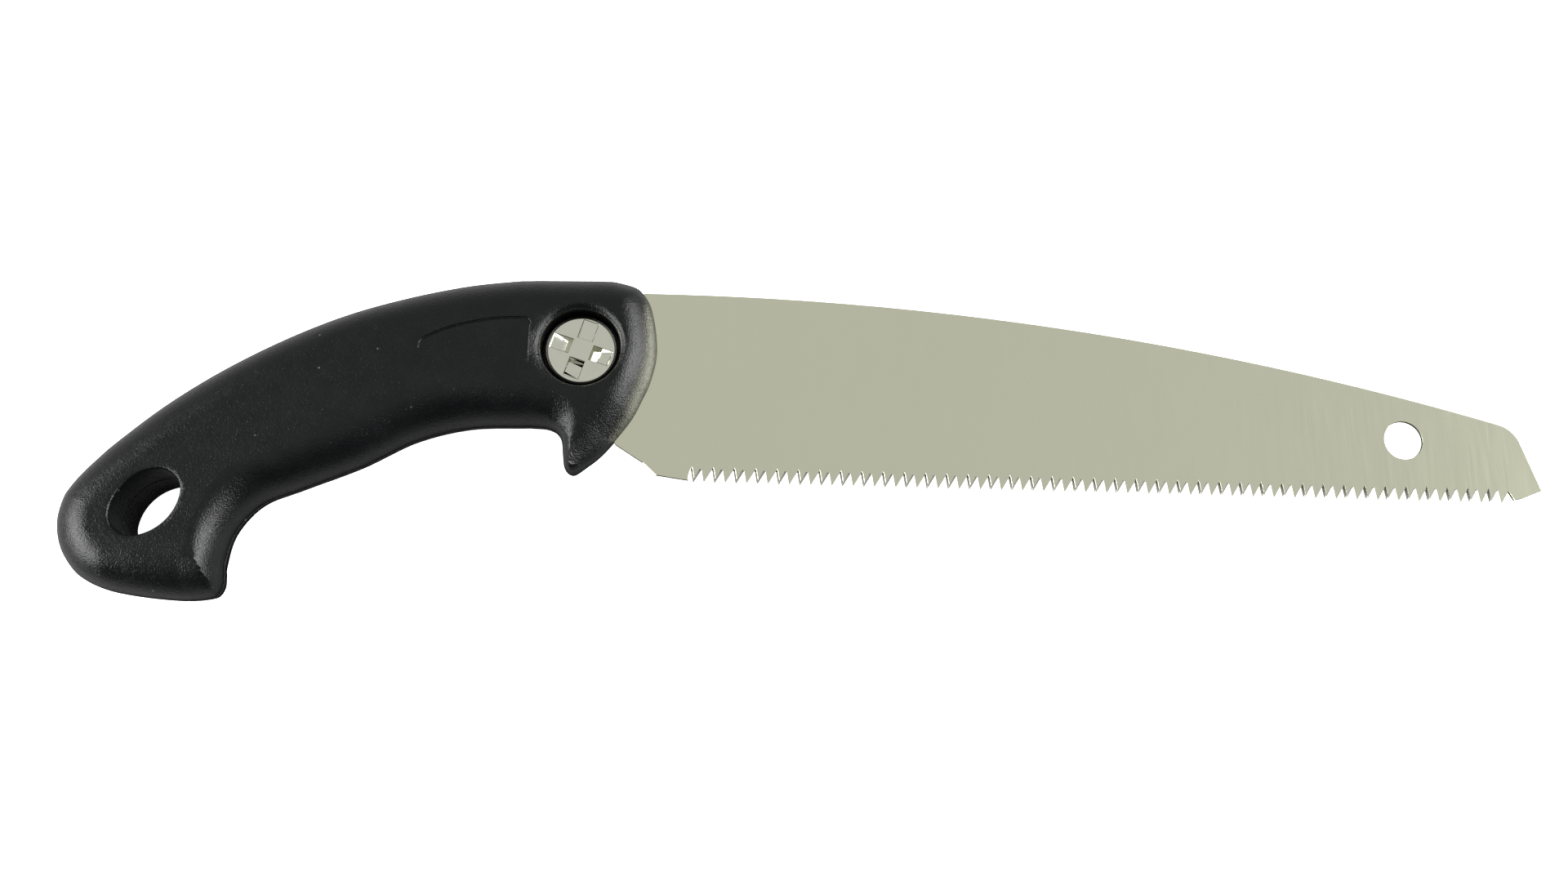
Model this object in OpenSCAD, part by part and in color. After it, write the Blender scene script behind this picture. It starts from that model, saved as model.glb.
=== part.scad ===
// Fixed pistol-grip pruning saw with a replaceable blade, lying on its side.
// X runs along the blade to its tip, Y runs in the plane of the blade from the teeth to the spine,
// Z runs up through the handle. The parting plane of the handle and the blade lie at mid_z.
// The drawing plane has its zero on the axis of the clamp bolt; place() moves it to the part's frame.

/* [Handle] */
// Height of the parting plane above the table
mid_z = 12; // [10:0.5:15]
// Half thickness of the nose
nose_half = 11.4; // [9:0.1:12]
// Wall of the moulded shells
wall = 2.6; // [2:0.1:4]
// Thickness of the moulded stiffening ribs
rib_t = 1.6; // [1:0.1:3]
// Half of the long axis of the hang hole
hang_a = 10.4; // [8:0.1:12]

/* [Blade] */
// Blade plate thickness
blade_t = 1.0; // [0.7:0.1:1.6]
// Side clearance between the blade and each shell
blade_gap = 0.15; // [0.1:0.05:0.4]
// Tooth pitch
tooth_pitch = 3; // [2:0.1:5]
// Tooth depth
tooth_depth = 3.7; // [2:0.1:5]
// Number of whole teeth
tooth_count = 78; // [40:1:100]
// Radius of the curved spine
spine_r = 890; // [600:10:1500]
// Diameter of the hole in the blade tip
tip_hole_d = 11.2; // [6:0.1:14]

/* [Clamp bolt] */
// Diameter of the bolt head
head_d = 20.2; // [16:0.1:21]
// Thickness of the bolt head
head_h = 2.9; // [2:0.1:4]
// Height of the top of the bolt head above the parting plane
head_top = 7.4; // [6:0.1:9]
// Depth of the cross recess across the handle and along it
arm_depth = [2.5, 1.6]; // [1:0.1:2.6]
// Nominal thread diameter
thread_d = 8; // [6:1:10]
// Diameter of the well that the head sits in
well_d = 22.4; // [21:0.1:24]
// Diameter of the well's flared mouth
mouth_d = 26.5; // [24:0.1:28]

/* [Hidden] */
$fn = 64;
clear = 0.05;
half_h = 12;
frame_x = 66.4;
frame_y = -23.65;
sub_steps = 2;
edge_rings = 5;
flat_rings = 2;

washer_t = 1.1;
spring_t = 1.2;
head_under = head_top - head_h;
washer_z = head_under - clear - spring_t - washer_t;
slot_w = thread_d + 0.6;
tang_end = -46;
pin_x = -34;
nut_h = 6.5;
nut_af = 13;
nut_top = -2.6;
screw_d = 3.5;
screw_head_d = 7;
screw_seat = -5.5;
screw_tip = 5.5;
boss_r = 4;
flare_h = 2.1;

hang_c = [-115.4, -44.5];
hang_turn = 45;
tip_hole_c = [235.7, -24.7];
first_gullet = [30.8, -33.0];
tooth_tilt = -1.64;

screws = [[0.2, -24.8], [-60, -9], [-97, -27], [-132, -51], [-104.5, -62]];

// One row for each rib line across the handle, from the nose to the butt:
// point on the back, point on the belly, point on the core line,
// width of the rounded edge at the back and at the belly, half thickness at the core.
rows = [
  [[21.1, 2.2], [21.1, 2.2], [11.0, 1.5], 9.2, 9.2, 11.42],
  [[20.9, 6.0], [20.8, -1.6], [10.2, 1.3], 9.2, 9.1, 11.45],
  [[20.4, 10.0], [19.9, -5.4], [8.4, 0.5], 9.2, 9, 11.52],
  [[19.2, 15.0], [18.7, -9.1], [6.4, -1.1], 9.2, 8.9, 11.57],
  [[17.0, 18.8], [17.1, -12.6], [4.8, -3.6], 9.4, 8.8, 11.6],
  [[14.4, 20.6], [14.1, -18.6], [3.4, -7.6], 9.6, 8.8, 11.5],
  [[9.2, 22.0], [8.9, -25.6], [1.6, -16.8], 9.8, 8.2, 10.9],
  [[6.6, 22.2], [5.1, -29.8], [0.6, -22.3], 10, 7, 9.4],
  [[4.2, 22.3], [1.7, -32.5], [-0.5, -26.8], 10, 5.2, 7.9],
  [[2.0, 22.3], [-0.7, -34.2], [-1.3, -29.4], 10, 4.3, 7.1],
  [[0.0, 22.3], [-2.2, -34.7], [-1.8, -30.4], 10, 3.9, 6.8],
  [[-2.0, 22.3], [-3.7, -34.0], [-2.1, -30.2], 10, 3.6, 6.8],
  [[-4.0, 22.3], [-4.7, -32.2], [-2.2, -28.7], 10, 3.4, 7.3],
  [[-6.0, 22.3], [-5.1, -28.5], [-2.3, -25.4], 10, 3.5, 8.3],
  [[-8.0, 22.3], [-5.5, -25.0], [-2.7, -20.5], 10, 4, 9.9],
  [[-10.2, 22.3], [-6.9, -22.6], [-4.0, -14.5], 10, 5.4, 11.1],
  [[-12.6, 22.3], [-9.4, -21.3], [-6.2, -8.5], 10, 7.4, 11.6],
  [[-15.5, 22.2], [-12.6, -20.9], [-10, -4.0], 10, 9.2, 11.8],
  [[-19.5, 22.0], [-17.0, -20.8], [-15.5, -1.0], 10, 10.5, 12],
  [[-33.0, 20.4], [-31.5, -21.3], [-32.0, -0.6], 10, 11, 12],
  [[-50.0, 16.7], [-46.0, -25.0], [-48.5, -4.6], 10, 11, 12],
  [[-67.0, 11.5], [-60.5, -32.3], [-64.5, -11.2], 10.2, 11, 12],
  [[-84.0, 4.1], [-76.4, -38.6], [-80.0, -18.6], 10.5, 10.8, 12],
  [[-100.5, -5.0], [-87.2, -43.1], [-93.5, -27.0], 11, 10, 12],
  [[-115.0, -14.9], [-93.8, -50.6], [-105.0, -36.0], 11.5, 8.4, 12],
  [[-127.3, -25.3], [-96.1, -58.8], [-113.0, -44.5], 11.5, 6.8, 12],
  [[-132.3, -30.2], [-96.1, -62.5], [-116.0, -48.0], 11.5, 6.8, 12],
  [[-136.3, -34.6], [-96.1, -65.2], [-118.5, -50.8], 11.5, 7.2, 12],
  [[-139.0, -38.3], [-96.9, -67.5], [-120.3, -53.0], 11.5, 9, 12],
  [[-140.6, -41.4], [-98.8, -69.0], [-121.6, -54.5], 11.5, 12, 12],
  [[-141.7, -47.4], [-106.0, -69.6], [-123.0, -56.0], 11.5, 14, 12],
  [[-140.9, -53.2], [-117.5, -68.5], [-123.9, -56.8], 11.2, 11.5, 12],
  [[-138.6, -58.2], [-127.6, -66.4], [-124.3, -57.4], 11, 9.4, 12],
  [[-134.5, -62.9], [-134.5, -62.9], [-124.5, -57.8], 10.4, 10.4, 12]
];

last = len(rows) - 1;
loop_n = 2 * last;
side_n = last * sub_steps;
ring_n = 2 * side_n;

function pick(i) = i <= last ? i : loop_n - i;
function edge_pt(i) = i <= last ? rows[i][0] : rows[pick(i)][1];
function edge_r(i) = i <= last ? rows[i][3] : rows[pick(i)][4];

// Catmull-Rom curve through four neighbours
function blend(a, b, c, d, t) =
  0.5 * (2 * b + (c - a) * t + (2 * a - 5 * b + 4 * c - d) * t * t
  + (3 * b - a - 3 * c + d) * t * t * t);

function wrap(i) = (i + loop_n) % loop_n;
function edge_at(i, t) = blend(edge_pt(wrap(i - 1)), edge_pt(i), edge_pt(wrap(i + 1)), edge_pt(wrap(i + 2)), t);
function edge_r_at(i, t) = edge_r(i) * (1 - t) + edge_r(wrap(i + 1)) * t;
function core_row(i) = rows[min(max(i, 0), last)];
function core_at(i, t) =
  blend(core_row(i - 1)[2], core_row(i)[2], core_row(i + 1)[2], core_row(i + 2)[2], t);
function core_h_at(i, t) = core_row(i)[5] * (1 - t) + core_row(i + 1)[5] * t;

function ease(x) = let (c = min(max(x, 0), 1)) c * c * (3 - 2 * c);
function back_h(x) = half_h - (half_h - nose_half) * ease((x + 22) / 24);

// Index j runs round the edge; its core point is shared by the two sides
function core_j(j) = j <= side_n ? j : ring_n - j;
function core_xy(j) = let (i = min(floor(j / sub_steps), last - 1)) core_at(i, j / sub_steps - i);
function core_h(j) = let (i = min(floor(j / sub_steps), last - 1)) core_h_at(i, j / sub_steps - i);

function ring_pt(j, k) =
  let (
    i = floor(j / sub_steps),
    t = j / sub_steps - i,
    p = edge_at(i, t),
    s = core_xy(core_j(j)),
    reach = norm(s - p),
    dir = (s - p) / reach,
    r = edge_r_at(i, t),
    a = 90 * min(k, edge_rings) / edge_rings,
    d = k <= edge_rings ? r * (1 - cos(a)) : r + (reach - r) * (k - edge_rings) / flat_rings,
    f = ease(2 * d / reach - 1),
    top = j <= side_n ? back_h(p[0]) * (1 - f) + core_h(core_j(j)) * f : core_h(core_j(j)),
    q = p + dir * d
  ) [q[0], q[1], top * sin(a)];

// Half of the handle as one closed body standing on the parting plane
module handle_half() {
  n_rings = edge_rings + flat_rings;
  points = concat(
    [for (k = [0:n_rings - 1], j = [0:ring_n - 1]) ring_pt(j, k)],
    [for (j = [0:side_n]) let (s = core_xy(j)) [s[0], s[1], core_h(j)]]
  );
  core_0 = n_rings * ring_n;
  walls = [for (k = [0:n_rings - 2], j = [0:ring_n - 1])
    let (m = (j + 1) % ring_n, a = k * ring_n, b = a + ring_n)
    each [[a + j, b + j, b + m], [a + j, b + m, a + m]]];
  tops = [for (j = [0:ring_n - 1])
    let (m = (j + 1) % ring_n, a = (n_rings - 1) * ring_n)
    each [[a + j, core_0 + core_j(j), core_0 + core_j(m)], [a + j, core_0 + core_j(m), a + m]]];
  foot = [for (j = [0:side_n - 1])
    let (a = j, b = j + 1, c = ring_n - j - 1, d = (ring_n - j) % ring_n)
    each concat(j < side_n - 1 ? [[a, b, c]] : [], j > 0 ? [[a, c, d]] : [])];
  polyhedron(points = points, faces = concat(walls, tops, foot), convexity = 8);
}

// Oval of four arcs with its long axis on X, grown by extra
module oval(extra, h) {
  r_end = 6.2 + extra;
  r_side = 13.2 + extra;
  reach = hang_a - 6.2;
  lift = 5.6;
  for (s = [-1, 1]) translate([s * reach, 0, 0]) cylinder(r = r_end, h = h);
  intersection() {
    translate([0, lift, 0]) cylinder(r = r_side, h = h);
    translate([0, -lift, 0]) cylinder(r = r_side, h = h);
    translate([-0.6 * r_side, -20, 0]) cube([1.2 * r_side, 40, h]);
  }
}

module at_hang() translate([hang_c[0], hang_c[1], 0]) rotate([0, 0, hang_turn]) children();

module place() translate([-frame_x, -frame_y, mid_z]) children();

// Outline of the tang and of the pocket it lies in, grown by gap
function tang_outline(gap) = [
  [tang_end - gap, -12.6 - gap], [-8, -12.6 - gap], [0.2, -14.2 - gap], [5.7 - gap, -18.6 - gap],
  [9.6 - gap, -25.9 - gap]
];
function tang_back(gap) = [
  [17.5, 19.1 + gap], [10, 15 + gap], [0, 12.6 + gap], [tang_end - gap, 12.6 + gap]
];

module tang_pocket() {
  depth = blade_t / 2 + blade_gap;
  translate([0, 0, -depth]) linear_extrude(2 * depth)
    polygon(concat(tang_outline(0.4), [[30, -40], [30, 25]], tang_back(0.4)));
}

// Hollow of the grip between two neighbouring rib lines, clear of the rounded edges
function inset_pt(i, from_back) =
  let (a = rows[i][0], b = rows[i][1], dir = (b - a) / norm(b - a))
  from_back ? a + dir * (wall + 4) : b - dir * (wall + 4);
module grip_cell(i) {
  t = rib_t / 2 / norm(rows[i + 1][1] - rows[i][1]);
  a = inset_pt(i, true);
  b = inset_pt(i + 1, true);
  c = inset_pt(i + 1, false);
  d = inset_pt(i, false);
  translate([0, 0, -1]) linear_extrude(half_h - wall + 1)
    polygon([a + (b - a) * t, b - (b - a) * t, c - (c - d) * t, d + (c - d) * t]);
}

module shell_half() {
  difference() {
    handle_half();
    difference() {
      for (i = [20:22]) grip_cell(i);
      for (s = screws) translate([s[0], s[1], -2]) cylinder(r = boss_r, h = 14);
    }
    at_hang() translate([0, 0, -1]) oval(0, 20);
    translate([0, 0, -1]) cylinder(d = thread_d + 0.8, h = 20);
    translate([pin_x, 0, -1]) cylinder(d = thread_d + 0.02, h = 7);
    tang_pocket();
  }
}

module handle_shell_near() {
  color("dimgray") place() difference() {
    shell_half();
    translate([0, 0, washer_z - clear]) cylinder(d = well_d, h = 20);
    translate([0, 0, nose_half - flare_h])
      cylinder(d1 = well_d, d2 = well_d + 3 * (mouth_d - well_d), h = 3 * flare_h);
    for (s = screws) translate([s[0], s[1], -1]) cylinder(d = screw_d + 2 * clear, h = screw_tip + 1.8);
  }
}

module handle_shell_far() {
  color("dimgray") place() difference() {
    mirror([0, 0, 1]) shell_half();
    translate([0, 0, nut_top - 20]) cylinder(d = (nut_af + 0.3) / cos(30), h = 20, $fn = 6);
    for (s = screws) {
      translate([s[0], s[1], -14]) cylinder(d = screw_head_d + 0.6, h = 14 + screw_seat);
      translate([s[0], s[1], -14]) cylinder(d = screw_d + 0.8, h = 15);
    }
  }
}

// Tooth line: each tooth falls steeply from its gullet and rises slowly to the next one
function tooth_pts(n) = let (x = n * tooth_pitch) [
  [x, 0], [x + 0.55, -tooth_depth + 0.25], [x + 0.75, -tooth_depth], [x + 0.95, -tooth_depth + 0.15],
  [x + tooth_pitch - 0.15, -0.05]
];
function turned(p) = first_gullet
  + [p[0] * cos(tooth_tilt) - p[1] * sin(tooth_tilt), p[0] * sin(tooth_tilt) + p[1] * cos(tooth_tilt)];
function spine_y(x) = 19.2 - spine_r + sqrt(spine_r * spine_r - (x - 2.9) * (x - 2.9));

module blade_plan() {
  teeth = [for (n = [0:tooth_count - 1]) each [for (p = tooth_pts(n)) turned(p)]];
  tip_c = [261.8, -28.2];
  corner = [for (a = [18:11:73]) tip_c + 8.5 * [cos(a), sin(a)]];
  spine = [for (x = [262:-10:22]) [x, spine_y(x)]];
  polygon(concat(
    tang_outline(0), [[17.3, -31.1], [21.0, -34.7], [29.9, -36.2]], teeth,
    [turned([tooth_count * tooth_pitch, 0]), [266.2, -42.3], [268.6, -41.9], [274.5, -39.7]],
    corner, spine, tang_back(0)
  ));
}

module saw_blade() {
  color("silver") place() difference() {
    translate([0, 0, -blade_t / 2]) linear_extrude(blade_t) blade_plan();
    translate([tip_hole_c[0], tip_hole_c[1], -2]) cylinder(d = tip_hole_d, h = 4);
    translate([0, 0, -2]) cylinder(d = slot_w, h = 4);
    translate([tang_end - 2, -slot_w / 2, -2]) cube([2 - tang_end, slot_w, 4]);
  }
}

// Recess of one cross arm: its floor rises outwards from a wall beside the flat middle
module arm_cut(depth) {
  arm_w = 4.2;
  translate([0, arm_w / 2, head_top]) rotate([90, 0, 0]) linear_extrude(arm_w)
    polygon([[3.3, -depth], [8.4, -0.1], [8.7, 1], [3.05, 1]]);
}

module clamp_bolt() {
  tip = nut_top - nut_h - 0.2;
  color("lightgray") place() difference() {
    union() {
      translate([0, 0, head_under]) cylinder(d = head_d, h = head_h - 0.6);
      translate([0, 0, head_top - 0.6]) cylinder(d1 = head_d, d2 = head_d - 1, h = 0.6);
      translate([0, 0, tip]) cylinder(d = thread_d, h = head_under - tip + 0.1);
    }
    for (k = [0:3]) rotate([0, 0, 90 * k - 19]) arm_cut(arm_depth[k % 2]);
  }
}

module bolt_washer() {
  color("silver") place() translate([0, 0, washer_z]) difference() {
    cylinder(d = 17, h = washer_t);
    translate([0, 0, -1]) cylinder(d = thread_d + 0.4, h = washer_t + 2);
  }
}

module bolt_spring_washer() {
  color("silver") place() translate([0, 0, washer_z + washer_t]) difference() {
    cylinder(d = 14, h = spring_t);
    translate([0, 0, -1]) cylinder(d = thread_d + 0.4, h = spring_t + 2);
    rotate([0, 0, 30]) translate([0, -0.4, -1]) cube([10, 0.8, spring_t + 2]);
  }
}

module clamp_nut() {
  color("silver") place() translate([0, 0, nut_top - nut_h]) difference() {
    intersection() {
      cylinder(d = nut_af / cos(30), h = nut_h, $fn = 6);
      cylinder(d1 = nut_af, d2 = nut_af + 6.5, h = nut_h);
    }
    translate([0, 0, -1]) cylinder(d = thread_d + 2 * clear, h = nut_h + 2);
  }
}

module tang_pin() {
  color("silver") place() translate([pin_x, 0, -5.8]) cylinder(d = thread_d, h = 11.6);
}

// Self-tapping screw put in from the far side
module shell_screw(n) {
  s = screws[n];
  color("gray") place() translate([s[0], s[1], 0]) difference() {
    union() {
      translate([0, 0, screw_seat - 2.4]) cylinder(d1 = screw_head_d - 1.2, d2 = screw_head_d, h = 0.9);
      translate([0, 0, screw_seat - 1.5]) cylinder(d = screw_head_d, h = 1.5);
      translate([0, 0, screw_seat - 0.1]) cylinder(d = screw_d, h = screw_tip - screw_seat - 1.4);
      translate([0, 0, screw_tip - 1.5]) cylinder(d1 = screw_d, d2 = 1.2, h = 1.5);
    }
    for (a = [0, 90]) rotate([0, 0, a]) translate([-2, -0.45, screw_seat - 3]) cube([4, 0.9, 2]);
  }
}

handle_shell_near();
handle_shell_far();
saw_blade();
clamp_bolt();
bolt_washer();
bolt_spring_washer();
clamp_nut();
tang_pin();
shell_screw(0);  // shell_screw_1
shell_screw(1);  // shell_screw_2
shell_screw(2);  // shell_screw_3
shell_screw(3);  // shell_screw_4
shell_screw(4);  // shell_screw_5
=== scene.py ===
"""Looks of the fixed pistol-grip pruning saw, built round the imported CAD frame.

Shapes are worked out in millimetres with their zero on the axis of the clamp bolt and on the parting
plane of the handle, as in part.scad. to_part() takes them to the part's frame in metres.
"""
import math

import bmesh
import bpy
import numpy as np
from mathutils import Matrix, Vector
from mathutils.bvhtree import BVHTree
from mathutils.geometry import delaunay_2d_cdt, tessellate_polygon


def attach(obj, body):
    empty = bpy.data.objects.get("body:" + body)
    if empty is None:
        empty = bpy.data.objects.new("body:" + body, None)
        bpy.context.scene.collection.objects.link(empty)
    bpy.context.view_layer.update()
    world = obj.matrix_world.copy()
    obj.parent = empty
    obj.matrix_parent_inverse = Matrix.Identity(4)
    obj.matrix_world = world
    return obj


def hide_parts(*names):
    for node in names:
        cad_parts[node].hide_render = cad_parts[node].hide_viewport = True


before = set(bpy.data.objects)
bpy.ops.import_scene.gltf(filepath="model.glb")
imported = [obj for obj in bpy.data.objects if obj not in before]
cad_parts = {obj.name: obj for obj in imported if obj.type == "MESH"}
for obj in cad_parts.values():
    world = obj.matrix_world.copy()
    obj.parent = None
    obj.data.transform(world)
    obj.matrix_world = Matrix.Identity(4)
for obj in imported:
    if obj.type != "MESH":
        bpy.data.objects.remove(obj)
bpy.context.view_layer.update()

MM = 0.001
ORIGIN = np.array([-66.4, 23.65, 12.0])

# ---------------------------------------------------------------- sizes, in millimetres
HALF_H = 12.0
NOSE_HALF = 11.4
HEAD_TOP = 7.4
HEAD_UNDER = 4.5
HEAD_R = 10.1
ARM_HALF = 2.1
ARM_DEPTH = (2.5, 1.6)
SEAT_Z = 2.1
WELL_R = 11.2
NUT_TOP = -2.6
NUT_H = 6.5
NUT_AF = 13.3
PIN_X = -34.0
BLADE_T = 1.0
TOOTH_PITCH = 3.0
TOOTH_DEPTH = 3.7
TOOTH_COUNT = 78
TOOTH_TILT = math.radians(-1.64)
FIRST_GULLET = (30.8, -33.0)
TIP_HOLE = (235.7, -24.7)
TIP_HOLE_R = 5.6
SPINE_R = 890.0
TANG_END = -46.0
SLOT_R = 4.3
HANG_C = (-115.4, -44.5)
HANG_TURN = math.radians(45)
SCREWS = [(0.2, -24.8), (-60, -9), (-97, -27), (-132, -51), (-104.5, -62)]
SCREW_BORE_R = 1.8
SCREW_CLEAR_R = 2.15
SCREW_HEAD_BORE_R = 3.8
SCREW_SEAT = -5.5       # underside of the screw heads
PIN_BORE_R = 4.01
SHANK_BORE_R = 4.4
OUTSIDE = 16            # clear of the handle's faces

# Outline of the handle in pairs from the nose to the butt: back point, belly point,
# and the width of the rounded edge at each of them
ROWS = [
    ((21.1, 2.2), (21.1, 2.2), 9.2, 9.2),
    ((20.9, 6.0), (20.8, -1.6), 9.2, 9.1),
    ((20.4, 10.0), (19.9, -5.4), 9.2, 9),
    ((19.2, 15.0), (18.7, -9.1), 9.2, 8.9),
    ((17.0, 18.8), (17.1, -12.6), 9.4, 8.8),
    ((14.4, 20.6), (14.1, -18.6), 9.6, 8.8),
    ((9.2, 22.0), (8.9, -25.6), 9.8, 9.4),
    ((6.6, 22.2), (5.1, -29.8), 10, 8.4),
    ((4.2, 22.3), (1.7, -32.5), 10, 6.4),
    ((2.0, 22.3), (-0.7, -34.2), 10, 4.0),
    ((0.0, 22.3), (-2.2, -34.7), 10, 3.5),
    ((-2.0, 22.3), (-3.7, -34.0), 10, 3.1),
    ((-4.0, 22.3), (-4.7, -32.2), 10, 2.9),
    ((-6.0, 22.3), (-5.1, -28.5), 10, 3.0),
    ((-8.0, 22.3), (-5.5, -25.0), 10, 3.5),
    ((-10.2, 22.3), (-6.9, -22.6), 10, 5.0),
    ((-12.6, 22.3), (-9.4, -21.3), 10, 7.4),
    ((-15.5, 22.2), (-12.6, -20.9), 10, 9.2),
    ((-19.5, 22.0), (-17.0, -20.8), 10, 10.5),
    ((-33.0, 20.4), (-31.5, -21.3), 10, 11),
    ((-50.0, 16.7), (-46.0, -25.0), 10, 11),
    ((-67.0, 11.5), (-60.5, -32.3), 10.2, 11),
    ((-84.0, 4.1), (-76.4, -38.6), 10.5, 10.8),
    ((-100.5, -5.0), (-87.2, -43.1), 11, 10),
    ((-115.0, -14.9), (-93.8, -50.6), 11.5, 8.4),
    ((-127.3, -25.3), (-96.1, -58.8), 11.5, 6.8),
    ((-132.3, -30.2), (-96.1, -62.5), 11.5, 6.8),
    ((-136.3, -34.6), (-96.1, -65.2), 11.5, 7.2),
    ((-139.0, -38.3), (-96.9, -67.5), 11.5, 9),
    ((-140.6, -41.4), (-98.8, -69.0), 11.5, 12),
    ((-141.7, -47.4), (-106.0, -69.6), 11.5, 14),
    ((-140.9, -53.2), (-117.5, -68.5), 11.2, 11.5),
    ((-138.6, -58.2), (-127.6, -66.4), 11, 9.4),
    ((-134.5, -62.9), (-134.5, -62.9), 10.4, 10.4),
]

# Rounded edge of the handle: degrees between its rings of points, how full it is, the broken
# corner at the seam as pairs of inset and height, and the height where the rounding begins
RING_STEP = 7.5
EDGE_FULLNESS = 1.65
SEAM_LIP = [(0.42, 0.0), (0.16, 0.14)]
SEAM_TOP = 0.42

# ---------------------------------------------------------------- helpers
def to_part(points):
    """Points in millimetres about the bolt axis, as metres in the part's frame."""
    return (np.asarray(points, float) + ORIGIN) * MM


def ease(x):
    c = np.clip(x, 0, 1)
    return c * c * (3 - 2 * c)


def make_object(name, points, faces, materials, slots=None):
    """A mesh object from millimetre points, with its faces turned outwards."""
    mesh = bpy.data.meshes.new(name)
    mesh.from_pydata([tuple(p) for p in to_part(points)], [], [tuple(f) for f in faces])
    for m in materials:
        mesh.materials.append(m)
    if slots is not None:
        mesh.polygons.foreach_set("material_index", slots)
    bm = bmesh.new()
    bm.from_mesh(mesh)
    bmesh.ops.recalc_face_normals(bm, faces=bm.faces)
    bm.to_mesh(mesh)
    bm.free()
    obj = bpy.data.objects.new(name, mesh)
    bpy.context.scene.collection.objects.link(obj)
    return obj


def smooth(obj, degrees=35):
    obj.data.polygons.foreach_set("use_smooth", [True] * len(obj.data.polygons))
    obj.data.set_sharp_from_angle(angle=math.radians(degrees))


def stack(rings, centre=(0, 0), turn=0.0, count=96):
    """Closed body of rings about an upright axis: each ring is (radius or radii, height)."""
    a = np.arange(count) * 2 * math.pi / count
    points = []
    for radius, z in rings:
        r = np.broadcast_to(np.asarray(radius, float), (count,))
        ring = np.stack([centre[0] + r * np.cos(a + turn), centre[1] + r * np.sin(a + turn),
                         np.full(count, float(z))], 1)
        points.append(ring)
    faces = []
    for k in range(len(rings) - 1):
        for j in range(count):
            m = (j + 1) % count
            faces.append((k * count + j, k * count + m, (k + 1) * count + m, (k + 1) * count + j))
    faces.append(tuple(range(count - 1, -1, -1)))
    faces.append(tuple((len(rings) - 1) * count + j for j in range(count)))
    return np.concatenate(points), faces


def prism(outline, low, high):
    """Closed upright body on a flat outline."""
    n = len(outline)
    points = [(x, y, z) for z in (low, high) for x, y in outline]
    faces = [(j, (j + 1) % n, n + (j + 1) % n, n + j) for j in range(n)]
    faces.append(tuple(range(n - 1, -1, -1)))
    faces.append(tuple(range(n, 2 * n)))
    return np.array(points, float), faces


def joined(parts):
    """Several bodies that stand apart, as one list of points and faces."""
    points, faces, start = [], [], 0
    for p, f in parts:
        points.append(p)
        faces += [tuple(i + start for i in face) for face in f]
        start += len(p)
    return np.concatenate(points), faces


def carve(obj, parts):
    """Cuts bodies that stand apart from each other out of obj."""
    points, faces = joined(parts)
    cutter = make_object("cutter", points, faces, [])
    mod = obj.modifiers.new("carve", "BOOLEAN")
    mod.operation = "DIFFERENCE"
    mod.solver = "EXACT"
    mod.object = cutter
    bake_modifiers(obj)
    bpy.data.objects.remove(cutter)


def bake_modifiers(obj):
    dg = bpy.context.evaluated_depsgraph_get()
    made = bpy.data.meshes.new_from_object(obj.evaluated_get(dg), depsgraph=dg)
    obj.modifiers.clear()
    obj.data = made


def hex_radii(across, count=96):
    a = np.arange(count) * 360 / count
    return across / 2 / np.cos(np.radians((a % 60) - 30))


def oval_radii(extra, count=96):
    """The hang hole: two end arcs and two side arcs that meet without a corner."""
    a = np.arange(count) * 2 * math.pi / count
    cx, sy = np.abs(np.cos(a)), np.abs(np.sin(a))
    r_end, r_side = 6.2 + extra, 13.2 + extra
    ends = 4.2 * cx + np.sqrt(r_end ** 2 - (4.2 * sy) ** 2)
    sides = -5.6 * sy + np.sqrt(r_side ** 2 - (5.6 * cx) ** 2)
    return np.where(sides * cx <= 0.6 * r_side, sides, ends)


# ---------------------------------------------------------------- handle
def catmull(a, b, c, d, t):
    return 0.5 * (2 * b + (c - a) * t + (2 * a - 5 * b + 4 * c - d) * t * t
                  + (3 * b - a - 3 * c + d) * t ** 3)


def face_height(x, y):
    """Height of the broad face: it thins slightly to the nose and runs down the finger hook."""
    face = HALF_H - (HALF_H - NOSE_HALF) * ease((x + 22) / 24)
    return face - 6.0 * ease((-y - 6) / 34) * ease((x + 15) / 9)


def rounded(share):
    """Height of the rounded edge, as a share of the face's height."""
    return np.sqrt(1 - (1 - share) ** EDGE_FULLNESS)


def edge_share(points, loop, widths):
    """Distance from the outline as a share of the rounded edge's width, at most 1."""
    start, end = loop, np.roll(loop, -1, axis=0)
    run = end - start
    size = (run ** 2).sum(1)
    grow = np.roll(widths, -1) - widths
    share = np.empty(len(points))
    for k in range(0, len(points), 400):
        gap = points[k:k + 400, None, :] - start[None]
        t = np.clip((gap * run).sum(2) / size, 0, 1)
        away = np.hypot(gap[..., 0] - t * run[:, 0], gap[..., 1] - t * run[:, 1])
        share[k:k + 400] = (away / (widths + t * grow)).min(1)
    return np.clip(share, 0, 1)


def inside(points, loop):
    """Which points lie inside a closed outline."""
    x, y = points[:, 0:1], points[:, 1:2]
    ax, ay = loop.T
    bx, by = np.roll(loop, -1, axis=0).T
    crosses = (ay > y) != (by > y)
    rise = np.where(by == ay, 1.0, by - ay)
    return (crosses & (x < ax + (y - ay) / rise * (bx - ax))).sum(1) % 2 == 1


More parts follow.
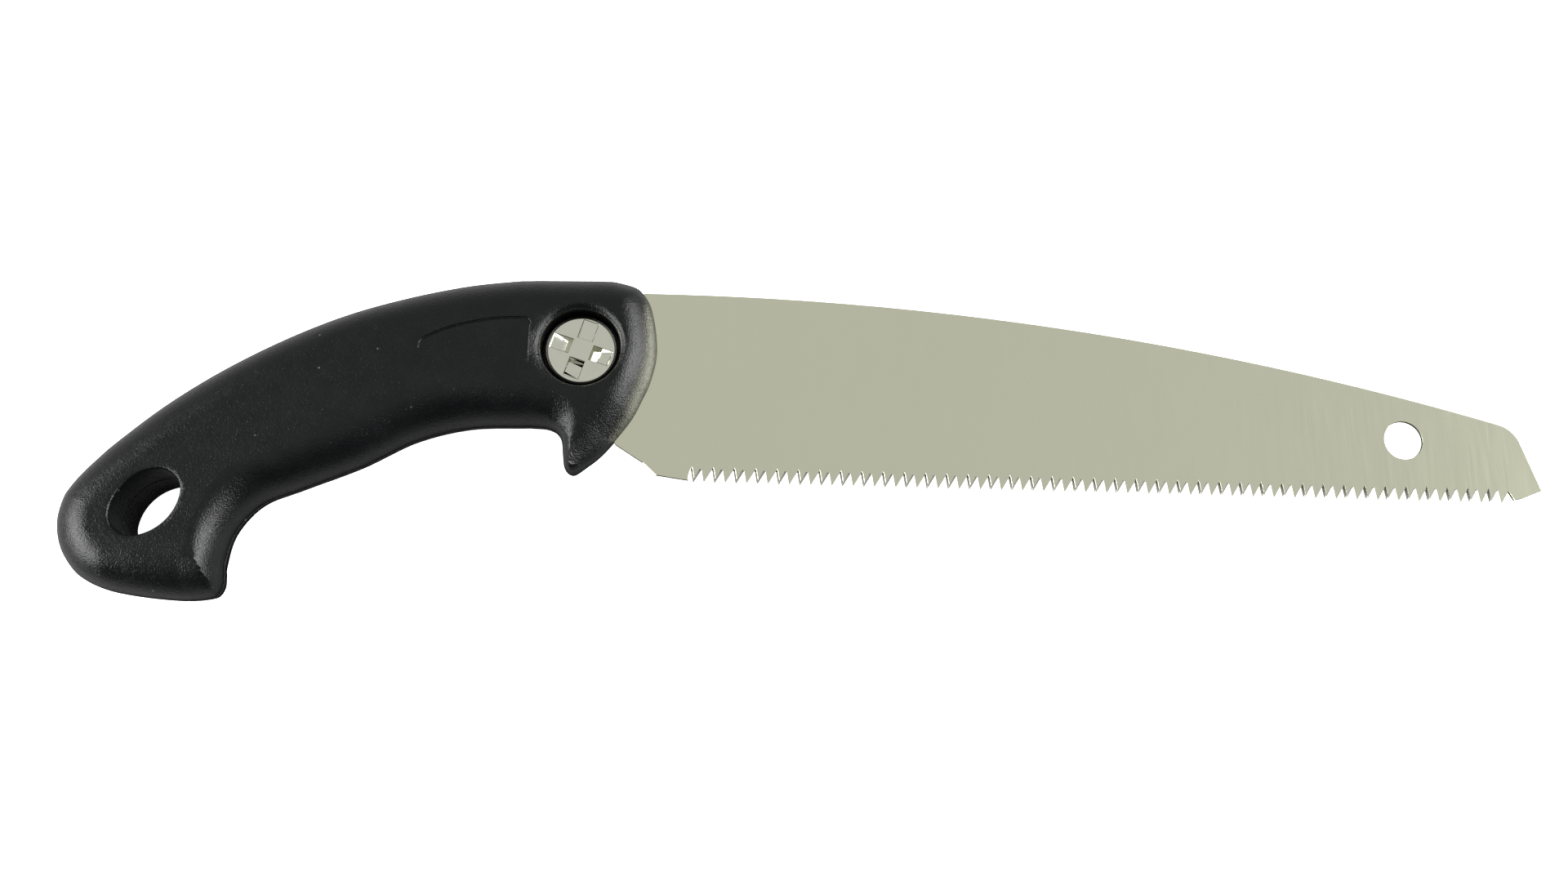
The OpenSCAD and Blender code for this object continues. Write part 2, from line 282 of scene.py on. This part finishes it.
def handle_half():
    """Points and faces of one closed half of the handle, standing on the parting plane."""
    last = len(ROWS) - 1
    back = [np.array(r[0], float) for r in ROWS]
    belly = [np.array(r[1], float) for r in ROWS]
    loop = back + belly[last - 1:0:-1]
    widths = [r[2] for r in ROWS] + [r[3] for r in ROWS[last - 1:0:-1]]
    count = len(loop)
    steps = []
    for i in range(last):
        far = max(np.linalg.norm(back[i + 1] - back[i]), np.linalg.norm(belly[i + 1] - belly[i]))
        steps.append(max(3, math.ceil(far / 0.9)))
    half = sum(steps)
    steps += steps[::-1]
    spots = [(i, s / steps[i]) for i in range(count) for s in range(steps[i])]
    edge = np.array([catmull(*[loop[(i + k) % count] for k in (-1, 0, 1, 2)], t) for i, t in spots])
    width = np.array([widths[i] * (1 - t) + widths[(i + 1) % count] * t for i, t in spots])
    along = np.roll(edge, -1, axis=0) - np.roll(edge, 1, axis=0)
    inward = np.column_stack([-along[:, 1], along[:, 0]]) / np.linalg.norm(along, axis=1)[:, None]
    n = len(edge)

    def surface(xy):
        share = edge_share(xy, edge, width)
        return np.column_stack([xy, face_height(xy[:, 0], xy[:, 1]) * rounded(share)])

    def reach(k):
        return 1 - math.cos(math.radians(RING_STEP * k))

    def offset(k):
        return edge + inward * (width * reach(k))[:, None]

    rings = [np.column_stack([edge + inward * away, np.full(n, z)]) for away, z in SEAM_LIP]
    rings.append(np.column_stack([edge + inward * 0.004 * width[:, None], np.full(n, SEAM_TOP)]))
    rings += [surface(offset(k)) for k in range(1, 5)]
    rim = rings[-1][:, :2]
    fill = []
    for k in range(5, 13):
        ring = offset(k)
        fill.append(ring[edge_share(ring, edge, width) > 0.985 * reach(k)])
    low, high = edge.min(0), edge.max(0)
    grid = np.array([(x + (j % 2) * 0.75, y) for j, y in enumerate(np.arange(low[1], high[1], 1.3))
                     for x in np.arange(low[0], high[0], 1.5)])
    fill.append(grid[edge_share(grid, edge, width) > 0.999])
    fill = np.concatenate(fill)
    fill = fill[inside(fill, rim)]
    plane = [Vector(p) for p in np.concatenate([rim, fill])]
    made = delaunay_2d_cdt(plane, [], [list(range(n))], 1, 1e-5)
    first = len(rings) * n
    names = [ids[0] if ids else -1 for ids in made[3]]
    inner = surface(np.array([tuple(v) for v in made[0]]))
    points = np.concatenate(rings + [inner])
    index = [first - n + name if 0 <= name < n else first + i for i, name in enumerate(names)]
    faces = []
    for k in range(0, first - n, n):
        for j in range(n):
            m = (j + 1) % n
            faces.append((k + j, k + m, k + n + m, k + n + j))
    faces += [tuple(index[v] for v in face) for face in made[2]]
    for j in range(half):
        quad = [j, j + 1, n - j - 1, (n - j) % n]
        faces.append(tuple(dict.fromkeys(quad)))
    return points, faces


def hang_hole():
    rings = [(oval_radii(0.25), -1), (oval_radii(0.25), -0.02), (oval_radii(0), 0.25),
             (oval_radii(0), 11.2), (oval_radii(0.08), 11.55), (oval_radii(0.25), 11.8),
             (oval_radii(0.6), 12.0), (oval_radii(2.6), 12.6), (oval_radii(2.6), OUTSIDE)]
    return stack(rings, HANG_C, HANG_TURN)


def well():
    fillet = 2.3
    rings = [(SHANK_BORE_R, -1), (SHANK_BORE_R, SEAT_Z), (WELL_R, SEAT_Z), (WELL_R, 5.0)]
    for a in range(0, 71, 7):
        t = math.radians(a)
        rings.append((WELL_R + fillet * (1 - math.cos(t)), 9.1 + fillet * math.sin(t)))
    r, z = rings[-1]
    rings += [(r + 0.94 * 4.5, z + 0.342 * 4.5), (r + 0.94 * 4.5, OUTSIDE)]
    return stack(rings, count=160)


def tang_pocket():
    depth = BLADE_T / 2 + 0.15
    outline = [(-46.4, -13), (-8, -13), (0.2, -14.6), (5.7, -19.0), (9.6, -26.3), (30, -40),
               (30, 25), (17.5, 19.5), (10, 15.4), (0, 13), (-46.4, 13)]
    return prism(outline, -depth, depth)


def groove(path, surface, width=0.4, depth=0.26):
    """A shallow engraved line that follows the face under it and runs out at both ends."""
    path = np.array(path, float)
    n, sides = len(path), 8
    points = []
    for i, p in enumerate(path):
        ahead = path[min(i + 1, n - 1)] - path[max(i - 1, 0)]
        ahead = ahead / np.linalg.norm(ahead)
        across = np.array([-ahead[1], ahead[0]])
        fade = min(1.0, 4.0 * i / n, 4.0 * (n - 1 - i) / n)
        hit = surface.ray_cast(Vector(to_part((p[0], p[1], 40))), Vector((0, 0, -1)))[0]
        z = hit[2] / MM - ORIGIN[2]
        for s in range(sides):
            a = 2 * math.pi * s / sides
            xy = p + across * width * math.cos(a)
            lift = width * 1.2 * math.sin(a) + 0.26 - depth * fade + 0.16 * (1 - fade)
            points.append((xy[0], xy[1], z + lift))
    faces = [(i * sides + s, i * sides + (s + 1) % sides, (i + 1) * sides + (s + 1) % sides,
              (i + 1) * sides + s) for i in range(n - 1) for s in range(sides)]
    faces.append(tuple(range(sides - 1, -1, -1)))
    faces.append(tuple((n - 1) * sides + s for s in range(sides)))
    return np.array(points), faces


def panel_path():
    """Plain label field beside the well: a long arc that curls in, a rounded corner and a short side."""
    ends = [np.array(p, float) for p in
            [(-44.6, -1.4), (-44.0, 0.9), (-41.6, 2.6), (-35.2, 5.2), (-24.9, 7.4), (-15.9, 7.9)]]
    path = []
    for i in range(5):
        near = [ends[min(max(i + k, 0), 5)] for k in (-1, 0, 1, 2)]
        path += [catmull(*near, t / 8) for t in range(8)]
    for a in range(90, -1, -15):
        t = math.radians(a)
        path.append(np.array([-15.6 + 1.7 * math.cos(t), 6.2 + 1.7 * math.sin(t)]))
    path += [np.array([-13.9 - 0.03 * k, 5.6 - 1.05 * k]) for k in range(11)]
    return path


def shell_near(material):
    points, faces = handle_half()
    obj = make_object("shell_near", points, faces, [material])
    bm = bmesh.new()
    bm.from_mesh(obj.data)
    surface = BVHTree.FromBMesh(bm)
    bm.free()
    bores = [stack([(SCREW_BORE_R, -1), (SCREW_BORE_R, 6.3)], s, count=24) for s in SCREWS]
    carve(obj, [well(), hang_hole()] + bores)
    carve(obj, [groove(panel_path(), surface)])
    carve(obj, [tang_pocket()])
    carve(obj, [stack([(PIN_BORE_R, -1), (PIN_BORE_R, 6)], (PIN_X, 0), count=48)])
    return obj


def shell_far(material):
    points, faces = handle_half()
    points = points * (1, 1, -1)
    obj = make_object("shell_far", points, faces, [material])
    steps = [(SCREW_CLEAR_R, 1), (SCREW_CLEAR_R, SCREW_SEAT),
             (SCREW_HEAD_BORE_R, SCREW_SEAT), (SCREW_HEAD_BORE_R, -OUTSIDE)]
    bores = [stack(steps, s, count=36) for s in SCREWS]
    nut_room = stack([(SHANK_BORE_R, 1), (SHANK_BORE_R, NUT_TOP),
                      (hex_radii(NUT_AF), NUT_TOP), (hex_radii(NUT_AF), -OUTSIDE)])
    hang_points, hang_faces = hang_hole()
    carve(obj, [(hang_points * (1, 1, -1), hang_faces), nut_room] + bores)
    carve(obj, [tang_pocket()])
    carve(obj, [stack([(PIN_BORE_R, 1), (PIN_BORE_R, -6)], (PIN_X, 0), count=48)])
    return obj


# ---------------------------------------------------------------- blade
def turned(p):
    c, s = math.cos(TOOTH_TILT), math.sin(TOOTH_TILT)
    return (FIRST_GULLET[0] + p[0] * c - p[1] * s, FIRST_GULLET[1] + p[0] * s + p[1] * c)


# A tooth on its pitch: sharp outline, the face that grinding leaves on the bevelled side, and how
# much further the flatter lip along the steep flank runs, as a share of the bevel; LIP_H is its height
TOOTH = [(0, 0), (0.03, -0.15), (0.58, 0.3 - TOOTH_DEPTH), (0.75, -TOOTH_DEPTH),
         (0.93, 0.2 - TOOTH_DEPTH), (2.9, -0.15)]
GROUND = [(0.2, 0.72), (0.5, 0.1), (0.93, -2.35), (0.97, -2.5), (1.04, -2.4), (2.45, 0.1)]
LIP = [0.11, 0.11, 0.11, 0, 0, 0]
LIP_H = 0.06


def blade_outline():
    """Outline points, each with its ground point (None where the edge is plain), lip and side."""
    start = [(TANG_END, -12.6), (-8, -12.6), (0.2, -14.2), (5.7, -18.6), (9.6, -25.9),
             (17.3, -31.1), (21.0, -34.7), (29.9, -36.2), turned((-0.35, -0.9))]
    rows = [(p, None, 0, 0) for p in start]
    for n in range(TOOTH_COUNT):
        for sharp, ground, lip in zip(TOOTH, GROUND, LIP):
            x = n * TOOTH_PITCH
            cut = turned((x + ground[0], ground[1]))
            rows.append((turned((x + sharp[0], sharp[1])), cut, lip, n % 2))
    toe = [turned((TOOTH_COUNT * TOOTH_PITCH, 0)), (266.2, -42.3), (268.6, -41.9), (274.5, -39.7)]
    toe += [(261.8 + 8.5 * math.cos(math.radians(a)), -28.2 + 8.5 * math.sin(math.radians(a)))
            for a in np.linspace(18, 73, 11)]
    spine = [(x, 19.2 - SPINE_R + math.sqrt(SPINE_R ** 2 - (x - 2.9) ** 2)) for x in range(262, 20, -4)]
    back = [(17.5, 19.1), (10, 15), (0, 12.6), (TANG_END, 12.6), (TANG_END, SLOT_R)]
    slot = [(SLOT_R * math.cos(math.radians(a)), SLOT_R * math.sin(math.radians(a)))
            for a in range(90, -91, -10)]
    rest = toe + spine + back + slot + [(TANG_END, -SLOT_R)]
    return rows + [(p, None, 0, 0) for p in rest]


def inset(points, amount):
    """Each point moved inwards along the bisector of its two edges; the outline runs anticlockwise."""
    p = np.array(points, float)
    ahead = np.roll(p, -1, 0) - p
    ahead = ahead / np.linalg.norm(ahead, axis=1)[:, None]
    behind = np.roll(ahead, 1, 0)
    normal = np.column_stack([-(ahead + behind)[:, 1], (ahead + behind)[:, 0]])
    normal = normal / np.linalg.norm(normal, axis=1)[:, None]
    return p + normal * amount


def saw_blade(steel, ground):
    rows = blade_outline()
    plain = np.array([r[0] for r in rows])
    soft = inset(plain, 0.07)
    hole = np.array([(math.cos(a), math.sin(a)) for a in np.arange(72) * 2 * math.pi / 72])
    face_z = BLADE_T / 2
    levels = [face_z, face_z - LIP_H, LIP_H - face_z, -face_z]
    outer, inner = [], []
    for z in levels:
        face = abs(z) == face_z
        ring = (soft if face else plain).copy()
        for i, (sharp, cut, lip, far_side) in enumerate(rows):
            if cut is not None:
                share = (0.5 - z / BLADE_T) if far_side else (0.5 + z / BLADE_T)
                share += lip if share > 0.99 else 0
                ring[i] = np.array(sharp) * (1 - share) + np.array(cut) * share
        outer.append(np.column_stack([ring, np.full(len(ring), z)]))
        r = TIP_HOLE_R + (0.08 if face else 0.0)
        inner.append(np.column_stack([np.array(TIP_HOLE) + hole * r, np.full(len(hole), z)]))
    n, h = len(rows), len(hole)
    points = np.concatenate(outer + inner)
    hole_0 = 4 * n
    faces, slots = [], []
    for k in range(3):
        for j in range(n):
            m = (j + 1) % n
            faces.append((k * n + j, k * n + m, (k + 1) * n + m, (k + 1) * n + j))
            slots.append(1 if rows[j][1] is not None and rows[m][1] is not None else 0)
        for j in range(h):
            m = (j + 1) % h
            a, b = hole_0 + k * h, hole_0 + (k + 1) * h
            faces.append((a + j, a + m, b + m, b + j))
            slots.append(0)
    for k in (0, 3):
        loops = [[Vector((*p[:2], 0)) for p in outer[k]], [Vector((*p[:2], 0)) for p in inner[k]]]
        index = [k * n + j for j in range(n)] + [hole_0 + k * h + j for j in range(h)]
        for tri in tessellate_polygon(loops):
            faces.append(tuple(index[i] for i in tri))
            slots.append(0)
    return make_object("saw_blade_plate", points, faces, [steel, ground], slots)


# ---------------------------------------------------------------- clamp bolt
def clamp_bolt(nickel):
    count, pitch = 96, 1.25
    a = np.arange(count) / count
    tip = NUT_TOP - NUT_H - 0.2
    rings = [(3.1, tip)]
    z = tip + 0.15
    while z < 1.6:
        wave = np.abs(((z / pitch - a) % 1.0) - 0.5) * 2
        lead = ease((z - tip) / 1.6)
        tail = ease((1.6 - z) / 1.2)
        rings.append((3.97 - 0.62 * np.clip(wave * 1.25 - 0.1, 0, 1) * tail - 0.7 * (1 - lead), z))
        z += 0.12
    rings += [(3.97, 1.7), (3.97, HEAD_UNDER - 0.12), (4.15, HEAD_UNDER), (9.7, HEAD_UNDER),
              (HEAD_R, HEAD_UNDER + 0.2), (HEAD_R, 6.5)]
    for t in range(10, 91, 10):
        s = math.radians(t)
        rings.append((8.5 + (HEAD_R - 8.5) * math.cos(s), 6.5 + (HEAD_TOP - 6.5) * math.sin(s)))
    rings += [(5.0, HEAD_TOP), (1.5, HEAD_TOP)]
    points, faces = stack(rings, count=count)
    obj = make_object("bolt_cross_head", points, faces, [nickel])
    turns = [math.radians(90 * k - 19) for k in range(4)]
    carve(obj, [arm_cutter(turn, ARM_DEPTH[k % 2]) for k, turn in enumerate(turns)])
    carve(obj, [arm_flare(turn) for turn in turns])
    return obj


def arm_cutter(turn, depth):
    """Recess of one cross arm: its floor rises outwards from a wall beside the flat middle."""
    outline = [(3.3, HEAD_TOP - depth), (8.4, HEAD_TOP - 0.1), (8.7, HEAD_TOP + 1), (3.05, HEAD_TOP + 1)]
    points = [(r, side * ARM_HALF, z) for side in (-1, 1) for r, z in outline]
    faces = [(j, (j + 1) % 4, 4 + (j + 1) % 4, 4 + j) for j in range(4)]
    faces += [(3, 2, 1, 0), (4, 5, 6, 7)]
    return turn_points(points, turn), faces


def arm_flare(turn):
    """Narrow broken edge round the mouth of one cross arm."""
    points = []
    for z, grow in ((HEAD_TOP - 0.16, 0.0), (HEAD_TOP + 0.1, 0.26)):
        for r, y in ((3.1 - grow, -1), (8.5 + grow, -1), (8.5 + grow, 1), (3.1 - grow, 1)):
            points.append((r, y * (ARM_HALF + grow), z))
    faces = [(j, (j + 1) % 4, 4 + (j + 1) % 4, 4 + j) for j in range(4)]
    faces += [(3, 2, 1, 0), (4, 5, 6, 7)]
    return turn_points(points, turn), faces


def turn_points(points, turn):
    c, s = math.cos(turn), math.sin(turn)
    return np.array([(x * c - y * s, x * s + y * c, z) for x, y, z in points])


# ---------------------------------------------------------------- materials
class Surface:
    """A principled material with a few short ways to add procedural detail."""

    def __init__(self, name, colour, roughness, metallic=0.0):
        self.mat = bpy.data.materials.new(name)
        self.mat.use_nodes = True
        self.tree = self.mat.node_tree
        self.shader = self.tree.nodes["Principled BSDF"]
        self.shader.inputs["Base Color"].default_value = (*colour, 1)
        self.shader.inputs["Roughness"].default_value = roughness
        self.shader.inputs["Metallic"].default_value = metallic
        self.mat.diffuse_color = (*colour, 1)
        self.place = self.tree.nodes.new("ShaderNodeTexCoord").outputs["Object"]

    def link(self, a, b):
        self.tree.links.new(a, b)

    def scaled(self, scale):
        node = self.tree.nodes.new("ShaderNodeMapping")
        node.inputs["Scale"].default_value = scale
        self.link(self.place, node.inputs["Vector"])
        return node.outputs["Vector"]

    def noise(self, scale, detail=2.0, stretch=None):
        node = self.tree.nodes.new("ShaderNodeTexNoise")
        node.inputs["Scale"].default_value = scale
        node.inputs["Detail"].default_value = detail
        self.link(self.scaled(stretch) if stretch else self.place, node.inputs["Vector"])
        return node.outputs["Fac"]

    def cells(self, scale, output="Distance"):
        node = self.tree.nodes.new("ShaderNodeTexVoronoi")
        node.inputs["Scale"].default_value = scale
        self.link(self.place, node.inputs["Vector"])
        return node.outputs[output]

    def spread(self, value, low_in, high_in, low, high):
        node = self.tree.nodes.new("ShaderNodeMapRange")
        for key, v in zip(("From Min", "From Max", "To Min", "To Max"), (low_in, high_in, low, high)):
            node.inputs[key].default_value = v
        self.link(value, node.inputs["Value"])
        return node.outputs["Result"]

    def math(self, kind, a, b):
        node = self.tree.nodes.new("ShaderNodeMath")
        node.operation = kind
        for slot, v in zip(node.inputs, (a, b)):
            if isinstance(v, (int, float)):
                slot.default_value = v
            else:
                self.link(v, slot)
        return node.outputs["Value"]

    def tint(self, value, low, high):
        node = self.tree.nodes.new("ShaderNodeMix")
        node.data_type = "RGBA"
        node.inputs["A"].default_value = (*low, 1)
        node.inputs["B"].default_value = (*high, 1)
        self.link(value, node.inputs["Factor"])
        return node.outputs["Result"]

    def bump(self, height, strength, distance, below=None):
        node = self.tree.nodes.new("ShaderNodeBump")
        node.inputs["Strength"].default_value = strength
        node.inputs["Distance"].default_value = distance
        self.link(height, node.inputs["Height"])
        if below is not None:
            self.link(below, node.inputs["Normal"])
        return node.outputs["Normal"]

    def set(self, name, value):
        if isinstance(value, (int, float, tuple)):
            self.shader.inputs[name].default_value = value
        else:
            self.link(value, self.shader.inputs[name])


def plastic():
    """Black moulded plastic with a fine spark-eroded grain and a few dust specks."""
    s = Surface("moulded_plastic", (0.0016, 0.002, 0.0021), 0.28)
    base = s.tint(s.noise(60, 3), (0.0012, 0.0016, 0.0016), (0.0022, 0.0026, 0.0028))
    speck = s.spread(s.cells(300), 0.10, 0.06, 0, 1)
    rare = s.spread(s.noise(210, 0), 0.64, 0.72, 0, 0.6)
    mix = s.tree.nodes.new("ShaderNodeMix")
    mix.data_type = "RGBA"
    s.link(s.math("MULTIPLY", speck, rare), mix.inputs["Factor"])
    s.link(base, mix.inputs["A"])
    mix.inputs["B"].default_value = (0.12, 0.12, 0.125, 1)
    s.set("Base Color", mix.outputs["Result"])
    s.set("Roughness", s.spread(s.noise(180, 2), 0.3, 0.7, 0.24, 0.32))
    s.set("Specular IOR Level", 0.235)
    broad = s.bump(s.noise(700, 2), 0.6, 0.0001)
    s.set("Normal", s.bump(s.noise(2600, 1), 1.0, 0.00013, broad))
    return s.mat


def blade_steel():
    """Satin plated blade, ground across its width."""
    s = Surface("blade_satin", (0.70, 0.71, 0.555), 0.15, 1.0)
    drift = s.noise(14, 2, (1, 0.5, 1))
    s.set("Base Color", s.tint(drift, (0.69, 0.70, 0.545), (0.71, 0.72, 0.565)))
    streak = s.noise(1, 3, (1500, 60, 60))
    s.set("Roughness", s.spread(streak, 0.3, 0.7, 0.13, 0.17))
    s.set("Normal", s.bump(streak, 0.06, 0.00002))
    return s.mat


def ground_steel():
    """Ground tooth bevels, darker than the plated faces."""
    s = Surface("ground_steel", (0.36, 0.36, 0.31), 0.28, 1.0)
    lines = s.noise(1, 2, (4000, 4000, 600))
    s.set("Base Color", s.tint(lines, (0.29, 0.29, 0.25), (0.43, 0.43, 0.37)))
    s.set("Roughness", s.spread(lines, 0.3, 0.7, 0.22, 0.34))
    s.set("Normal", s.bump(lines, 0.2, 0.00002))
    return s.mat


def bright_nickel():
    s = Surface("bright_nickel", (0.72, 0.73, 0.62), 0.08, 1.0)
    s.set("Roughness", s.spread(s.noise(900, 3), 0.35, 0.75, 0.05, 0.14))
    s.set("Base Color", s.tint(s.noise(300, 2), (0.68, 0.69, 0.58), (0.74, 0.75, 0.65)))
    s.set("Normal", s.bump(s.noise(420, 2), 0.25, 0.00004))
    return s.mat


def zinc_steel():
    """Passivated zinc: blotches of slightly different grey and small scratches."""
    s = Surface("zinc_steel", (0.55, 0.56, 0.57), 0.34, 1.0)
    s.set("Base Color", s.tint(s.cells(700, "Color"), (0.47, 0.48, 0.50), (0.62, 0.62, 0.60)))
    s.set("Roughness", s.spread(s.noise(700, 3), 0.3, 0.7, 0.26, 0.46))
    s.set("Normal", s.bump(s.noise(1600, 2), 0.25, 0.00003))
    return s.mat


def dark_screw():
    """Black phosphated self-tapping screws, rubbed bright in places."""
    s = Surface("phosphated_steel", (0.06, 0.06, 0.065), 0.45, 0.8)
    worn = s.spread(s.noise(900, 3), 0.5, 0.75, 0, 1)
    s.set("Base Color", s.tint(worn, (0.05, 0.05, 0.055), (0.22, 0.22, 0.21)))
    s.set("Roughness", s.spread(s.noise(1300, 2), 0.3, 0.7, 0.35, 0.55))
    s.set("Normal", s.bump(s.noise(2200, 2), 0.3, 0.00003))
    return s.mat


# ---------------------------------------------------------------- pieces
def finish_cad_node(name, material, edge=0.12):
    """A carried-over CAD node: a procedural material and softly broken edges."""
    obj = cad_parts[name]
    obj.data.materials.clear()
    obj.data.materials.append(material)
    mod = obj.modifiers.new("edges", "BEVEL")
    mod.width = edge * MM
    mod.segments = 2
    mod.limit_method = "ANGLE"
    mod.angle_limit = math.radians(40)
    return obj


black = plastic()
zinc = zinc_steel()
screw_finish = dark_screw()

near = shell_near(black)
smooth(near, 32)
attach(near, "handle")
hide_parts("handle_shell_near")

far = shell_far(black)
smooth(far, 32)
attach(far, "handle")
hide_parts("handle_shell_far")

blade = saw_blade(blade_steel(), ground_steel())
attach(blade, "blade")
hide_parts("saw_blade")

bolt = clamp_bolt(bright_nickel())
smooth(bolt, 30)
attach(bolt, "bolt")
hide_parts("clamp_bolt")

for node in ("bolt_washer", "bolt_spring_washer", "clamp_nut", "tang_pin"):
    finish_cad_node(node, zinc)
for n in range(1, 6):
    finish_cad_node(f"shell_screw_{n}", screw_finish, 0.08)


# ---------------------------------------------------------------- stage
def floor():
    mat = bpy.data.materials.new("pale_floor")
    mat.use_nodes = True
    shader = mat.node_tree.nodes["Principled BSDF"]
    shader.inputs["Base Color"].default_value = (0.9, 0.9, 0.9, 1)
    shader.inputs["Roughness"].default_value = 0.9
    shader.inputs["Specular IOR Level"].default_value = 0.0
    shader.inputs["Emission Color"].default_value = (1, 1, 1, 1)
    shader.inputs["Emission Strength"].default_value = 1.0
    mesh = bpy.data.meshes.new("floor")
    s = 6.0
    mesh.from_pydata([(-s, -s, 0), (s, -s, 0), (s, s, 0), (-s, s, 0)], [], [(0, 1, 2, 3)])
    mesh.materials.append(mat)
    obj = bpy.data.objects.new("floor", mesh)
    obj.visible_diffuse = False
    obj.visible_glossy = False
    bpy.context.scene.collection.objects.link(obj)


def softbox(name, place, target, size, power):
    light = bpy.data.lights.new(name, "AREA")
    light.shape = "RECTANGLE"
    light.size, light.size_y = size
    light.energy = power
    obj = bpy.data.objects.new(name, light)
    obj.location = place
    obj.rotation_euler = (Vector(target) - Vector(place)).to_track_quat("-Z", "Y").to_euler()
    bpy.context.scene.collection.objects.link(obj)


def camera():
    data = bpy.data.cameras.new("camera")
    data.sensor_width = 36.0
    data.lens = 36.477
    data.clip_start, data.clip_end = 0.01, 50
    obj = bpy.data.objects.new("camera", data)
    place = Vector((-0.029815, -0.112979, 0.447379))
    target = Vector((-0.009283, -0.001069, 0.012))
    ahead = (target - place).normalized()
    right = (Vector((1, 0, 0)) - ahead * ahead.x).normalized()
    up = right.cross(ahead)
    obj.matrix_world = Matrix.Translation(place) @ Matrix((right, up, -ahead)).transposed().to_4x4()
    bpy.context.scene.collection.objects.link(obj)
    bpy.context.scene.camera = obj


def studio():
    """A pale room, dim towards the viewer and straight below, with a tall softbox at either end."""
    world = bpy.data.worlds.new("studio")
    world.use_nodes = True
    tree = world.node_tree
    back = tree.nodes["Background"]
    back.inputs["Color"].default_value = (1.0, 1.0, 0.985, 1)
    place = tree.nodes.new("ShaderNodeTexCoord")
    split = tree.nodes.new("ShaderNodeSeparateXYZ")
    tree.links.new(place.outputs["Generated"], split.inputs["Vector"])

    def fall(value, low, high, start, end):
        node = tree.nodes.new("ShaderNodeMapRange")
        node.interpolation_type = "SMOOTHSTEP"
        for key, v in (("From Min", low), ("From Max", high), ("To Min", start), ("To Max", end)):
            node.inputs[key].default_value = v
        tree.links.new(value, node.inputs["Value"])
        return node.outputs["Result"]

    def combine(kind, a, b):
        node = tree.nodes.new("ShaderNodeMath")
        node.operation = kind
        tree.links.new(a, node.inputs[0])
        tree.links.new(b, node.inputs[1])
        return node.outputs["Value"]

    front = fall(split.outputs["Y"], -0.85, -0.25, 0.06, 0.64)
    ground = fall(split.outputs["Z"], -0.9, -0.7, 0.0, 0.8)
    above = fall(split.outputs["Z"], -0.3, 0.0, 0.0, 1.0)
    below = fall(split.outputs["Z"], -0.3, 0.0, 1.0, 0.0)
    total = combine("ADD", combine("MULTIPLY", front, above), combine("MULTIPLY", ground, below))
    tree.links.new(total, back.inputs["Strength"])
    bpy.context.scene.world = world
    softbox("box_left", (-2.3, -0.3, 1.1), (-0.05, 0, 0), (2.6, 1.5), 148)
    softbox("box_right", (2.3, 0.2, 1.15), (0.0, 0, 0), (2.8, 1.6), 180)
    softbox("lamp", (2.62, 0.2, 2.98), (-0.07, 0, 0), (0.7, 0.5), 13)
    bpy.context.scene.view_settings.view_transform = "Standard"


floor()
camera()
studio()
